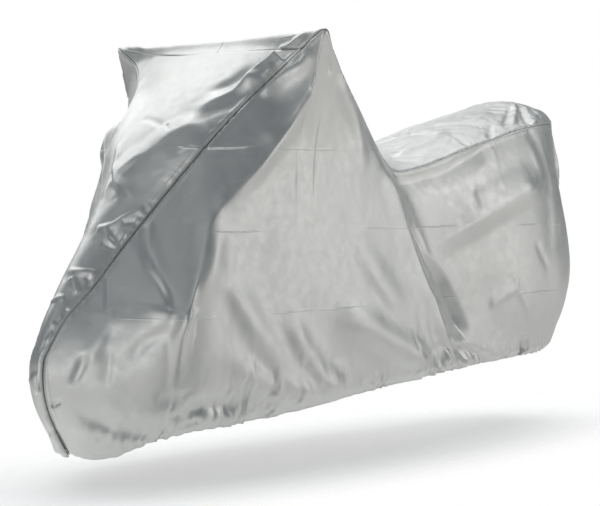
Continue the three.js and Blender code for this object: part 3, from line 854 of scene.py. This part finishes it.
# The normal turned by the slope of a height, which stands for distance where it is 1, on the bump before.
def bumpNode(tree, height, distance, strength, before=None):
    inputs = {"Distance": distance, "Strength": strength, "Height": height}
    if before is not None:
        inputs["Normal"] = before
    return addNode(tree, "Bump", inputs).outputs["Normal"]


# Height of the packing creases: 1 on the nearest line and 0 from the crease's width on. The lines drift with
# a slow noise.
def packingCreases(tree, place, creases):
    axes = addNode(tree, "SeparateXYZ", {0: place}).outputs
    slow = noiseNode(tree, place, finish["driftScale"], 1, 0)
    drift = mathNode(tree, "MULTIPLY", slow, finish["creaseDrift"])
    near = 1.0
    for axis, places in creases.items():
        drifted = mathNode(tree, "ADD", axes[axis], drift)
        for line in places:
            fromHold = line - float(holdPlace["XYZ".index(axis)])
            away = mathNode(tree, "SUBTRACT", drifted, fromHold + finish["creaseDrift"] / 2)
            near = mathNode(tree, "MINIMUM", mathNode(tree, "ABSOLUTE", away), near)
    return rampNode(tree, near, 0, finish["creaseWidth"], 1, 0)


# Height of the stitches: a row at its distance from the seam, cut into dashes by how far along it they lie.
def stitches(tree):
    fromRow = mathNode(tree, "SUBTRACT", measuredNode(tree, "fromSeam"), finish["stitchFrom"])
    inRow = rampNode(tree, mathNode(tree, "ABSOLUTE", fromRow), 0, finish["stitchWidth"], 1, 0)
    along = mathNode(tree, "PINGPONG", measuredNode(tree, "alongSeam"), finish["stitchLength"] / 2)
    dash = rampNode(tree, along, 0, finish["stitchEnd"], 0, 1)
    return mathNode(tree, "MULTIPLY", inRow, dash)


# The cloth: its colour darkens beside the seam into painted shade of the seam's groove, its roughness follows
# a crinkle, and four bumps lie on each other: weave, crinkle, packing creases and stitches.
def clothMaterial(name, creases):
    material = bpy.data.materials.new(name)
    material.use_nodes = True
    tree = material.node_tree
    shader = tree.nodes["Principled BSDF"].inputs
    shader["Metallic"].default_value = finish["metallic"]
    place = addNode(tree, "TexCoord", {}).outputs["Object"]

    # inputs 6 and 7 of a colour mix are its two colours, and output 2 is its result
    # painted shade: within a few millimetres of the seam the colour turns dark, standing in for the shade in
    # the seam's groove
    inSeamShade = rampNode(tree, measuredNode(tree, "fromSeam"), 0, finish["seamShadeWidth"], 1, 0)
    colours = {0: inSeamShade, 6: (*finish["colour"], 1), 7: (*finish["seamShadeColour"], 1)}
    mix = addNode(tree, "Mix", colours, data_type="RGBA")
    tree.links.new(mix.outputs[2], shader["Base Color"])

    crinkle = noiseNode(tree, place, 1 / finish["crinkleSize"], 3, 0.6)
    smoothest, roughest = (finish["roughness"] + sign * finish["roughnessSpread"] for sign in (-1, 1))
    tree.links.new(rampNode(tree, crinkle, 0.25, 0.75, smoothest, roughest), shader["Roughness"])

    bands = {"Vector": place, "Scale": finish["weaveScale"], "Distortion": finish["weaveWander"]}
    weave = addNode(tree, "TexWave", bands, bands_direction="DIAGONAL").outputs["Fac"]
    byHem = rampNode(tree, measuredNode(tree, "fromHem"), 0, finish["hemReach"], 1, finish["crinkleAway"])
    patch = noiseNode(tree, place, finish["patchScale"], 1, 0)
    patches = rampNode(tree, patch, finish["patchFrom"], finish["patchTo"], finish["patchLeast"], 1)
    normal = bumpNode(tree, weave, finish["weaveHeight"], 1.0)
    normal = bumpNode(tree, crinkle, finish["crinkleHeight"], byHem, normal)
    normal = bumpNode(tree, packingCreases(tree, place, creases), finish["creaseHeight"], patches, normal)
    normal = bumpNode(tree, stitches(tree), finish["stitchHeight"], 1.0, normal)
    tree.links.new(normal, shader["Normal"])
    print(name, "mixed")
    return material


# A panel's height is that of its folds and its unevenness, calm beside the seams, then that of the seam, its
# gathers and the hem.
def makePanel(name, panel, folds, material, seed):
    calm = smoothStep(0, seams["calm"], panel["fromSeam"])
    if "fromCross" in panel:
        calm = calm * smoothStep(-seams["crossCalm"], seams["crossCalm"], panel["fromCross"])
    height = calm * (foldHeights(panel, folds) + slackRelief(panel, seed)) + seamRelief(panel["fromSeam"])
    height += edgeGathers(panel["alongSeam"], panel["fromSeam"], seamGather, seed + 20)
    height += hemRelief(panel, seed + 40)
    piece = clothMesh(name, panel, height)
    piece.data.materials.append(material)
    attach(piece, "root")
    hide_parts(name)
    print(name, "made:", len(piece.data.polygons), "cells")
    return piece


# Camera at the photo's viewing angle
view = {
    "place": (-2.46470, -2.96271, 0.66945),
    "heading": 43.959,
    "downward": 2.088,
    "lens": 98.64,
    "sensor": 36,
}


# The camera looks along its heading from +X, turned downward, with its right side level.
def makeCamera():
    heading, downward = math.radians(view["heading"]), math.radians(view["downward"])
    level = math.cos(downward)
    forward = Vector((math.cos(heading) * level, math.sin(heading) * level, -math.sin(downward)))
    right = Vector((math.sin(heading), -math.cos(heading), 0))
    data = bpy.data.cameras.new("camera")
    data.sensor_width = view["sensor"]
    data.lens = view["lens"]
    camera = bpy.data.objects.new("camera", data)
    turned = Matrix((right, right.cross(forward), -forward)).transposed().to_4x4()
    camera.matrix_world = Matrix.Translation(Vector(view["place"]) - Vector(holdPlace)) @ turned
    bpy.context.scene.collection.objects.link(camera)
    bpy.context.scene.camera = camera
    print("camera placed")


# Soft studio: where each softbox stands, what it aims at, its side, how bright its face is and its tint.
# Places count from the ground under the front axle.
studio = {
    "tints": {"plain": (1, 1, 1), "warm": (1, 0.985, 0.96), "cool": (0.95, 0.98, 1)},
    "lights": {
        "back softbox": ((0.4, 2.6, 3.0), (0.3, 0, 0.7), 3.4, 1.35, "plain"),
        "far softbox": ((3.6, 3.6, 1.1), (0.6, 0, 0.8), 3.8, 1.15, "plain"),
        "overhead softbox": ((1.8, 0.4, 3.8), (0.8, 0, 0.6), 4.0, 1.1, "plain"),
        "right softbox": ((3.80, -3.62, 1.5), (0.7, 0, 0.6), 3.8, 0.73, "warm"),
        "high right softbox": ((3.7, -3.1, 2.5), (1.1, -0.2, 0.8), 2.0, 0.75, "warm"),
        "left softbox": ((-3.3, -1.9, 0.8), (0.1, 0, 0.4), 2.2, 1.0, "plain"),
        "front softbox": ((-1.96, -0.15, 2.12), (-0.1, -0.15, 0.45), 0.8, 0.6, "cool"),
    },
    "backdrop": (1, 1, 1),
    "surround": (0.105, 0.12, 0.135),
    "ground": (0.57, 0.57, 0.56),
    "horizon": (-0.06, 0.02),
    "gapHeading": 265,  # degrees from +X: the ground is as dim as the surround there
    "gapAngles": (9, 19),
}


# A softbox's power is its face's brightness times pi times the square of its side.
def makeLights():
    for name, (place, aim, size, brightness, tint) in studio["lights"].items():
        data = bpy.data.lights.new(name, "AREA")
        data.shape = "SQUARE"
        data.size = size
        data.energy = brightness * math.pi * size * size
        data.color = studio["tints"][tint]
        light = bpy.data.objects.new(name, data)
        direction = Vector(aim) - Vector(place)
        turned = direction.to_track_quat("-Z", "Y").to_matrix().to_4x4()
        light.matrix_world = Matrix.Translation(Vector(place) - Vector(holdPlace)) @ turned
        light.visible_camera = False
        bpy.context.scene.collection.objects.link(light)
    print(len(studio["lights"]), "softboxes placed")


# What surrounds the cover: white in the picture. For all other rays it is dim above the horizon and pale
# below it, apart from a gap towards one heading, found from the cosine of the angle to it.
def makeSurround():
    world = bpy.data.worlds.new("studio")
    world.use_nodes = True
    bpy.context.scene.world = world
    tree = world.node_tree
    dim, pale, white = (
        addNode(tree, "Background", {"Color": (*studio[part], 1)}).outputs[0]
        for part in ("surround", "ground", "backdrop")
    )
    ray = addNode(tree, "TexCoord", {}).outputs["Generated"]
    rise = addNode(tree, "SeparateXYZ", {0: ray}).outputs["Z"]
    flat = addNode(tree, "VectorMath", {0: ray, 1: (1, 1, 0)}, operation="MULTIPLY").outputs["Vector"]
    level = addNode(tree, "VectorMath", {0: flat}, operation="NORMALIZE").outputs["Vector"]
    heading = math.radians(studio["gapHeading"])
    towards = (math.cos(heading), math.sin(heading), 0)
    cosine = addNode(tree, "VectorMath", {0: level, 1: towards}, operation="DOT_PRODUCT").outputs["Value"]
    inner, outer = (math.cos(math.radians(angle)) for angle in studio["gapAngles"])
    below = rampNode(tree, rise, *studio["horizon"], 1, 0)
    lit = mathNode(tree, "MULTIPLY", below, rampNode(tree, cosine, outer, inner, 1, 0))
    around = addNode(tree, "MixShader", {0: lit, 1: dim, 2: pale}).outputs[0]
    inPicture = addNode(tree, "LightPath", {}).outputs["Is Camera Ray"]
    seen = addNode(tree, "MixShader", {0: inPicture, 1: around, 2: white}).outputs[0]
    tree.links.new(seen, tree.nodes["World Output"].inputs["Surface"])


# The floor is a pale patch whose edge fades out. It is narrower than it is long: across, distances from its
# centre count for more.
floorLook = {
    "colour": (0.80, 0.80, 0.795),
    "roughness": 0.9,
    "glow": 0.42,
    "centre": (0.62, 0.0),
    "narrow": 0.34,
    "half": 3.0,
    "fadeFrom": 0.75,
    "fadeTo": 1.65,
}


def makeFloor():
    half = floorLook["half"]
    corners = [(-half, -half, 0), (half, -half, 0), (half, half, 0), (-half, half, 0)]
    mesh = bpy.data.meshes.new("floor")
    mesh.from_pydata(corners, [], [(0, 1, 2, 3)])
    floor = bpy.data.objects.new("floor", mesh)
    floor.location = Vector((*floorLook["centre"], 0)) - Vector(holdPlace)
    bpy.context.scene.collection.objects.link(floor)
    pale = bpy.data.materials.new("pale floor")
    pale.use_nodes = True
    tree = pale.node_tree
    shader = tree.nodes["Principled BSDF"]
    shader.inputs["Base Color"].default_value = (*floorLook["colour"], 1)
    shader.inputs["Roughness"].default_value = floorLook["roughness"]
    shader.inputs["Emission Color"].default_value = (1, 1, 1, 1)
    shader.inputs["Emission Strength"].default_value = floorLook["glow"]
    place = addNode(tree, "TexCoord", {}).outputs["Object"]
    squeeze = (1, 1 / floorLook["narrow"], 1)
    squeezed = addNode(tree, "VectorMath", {0: place, 1: squeeze}, operation="MULTIPLY").outputs["Vector"]
    distance = addNode(tree, "VectorMath", {0: squeezed}, operation="LENGTH").outputs["Value"]
    fade = rampNode(tree, distance, floorLook["fadeFrom"], floorLook["fadeTo"], 0, 1)
    clear = addNode(tree, "BsdfTransparent", {}).outputs[0]
    patch = addNode(tree, "MixShader", {0: fade, 1: shader.outputs[0], 2: clear}).outputs[0]
    tree.links.new(patch, tree.nodes["Material Output"].inputs["Surface"])
    mesh.materials.append(pale)
    print("floor laid")


bpy.context.scene.view_settings.view_transform = "Standard"
makeCamera()
makeLights()
makeSurround()
makeFloor()
sideCloth = clothMaterial("side cloth", packing["side"])
frontCloth = clothMaterial("front cloth", packing["front"])
topCloth = clothMaterial("top cloth", packing["top"])
makePanel("side_left", sidePanel(-1), leftFolds, sideCloth, 11)
makePanel("side_right", sidePanel(1), rightFolds, sideCloth, 12)
makePanel("front_panel", frontPanel(), frontFolds, frontCloth, 13)
makePanel("top_panel", topPanel(), topFolds, topCloth, 14)
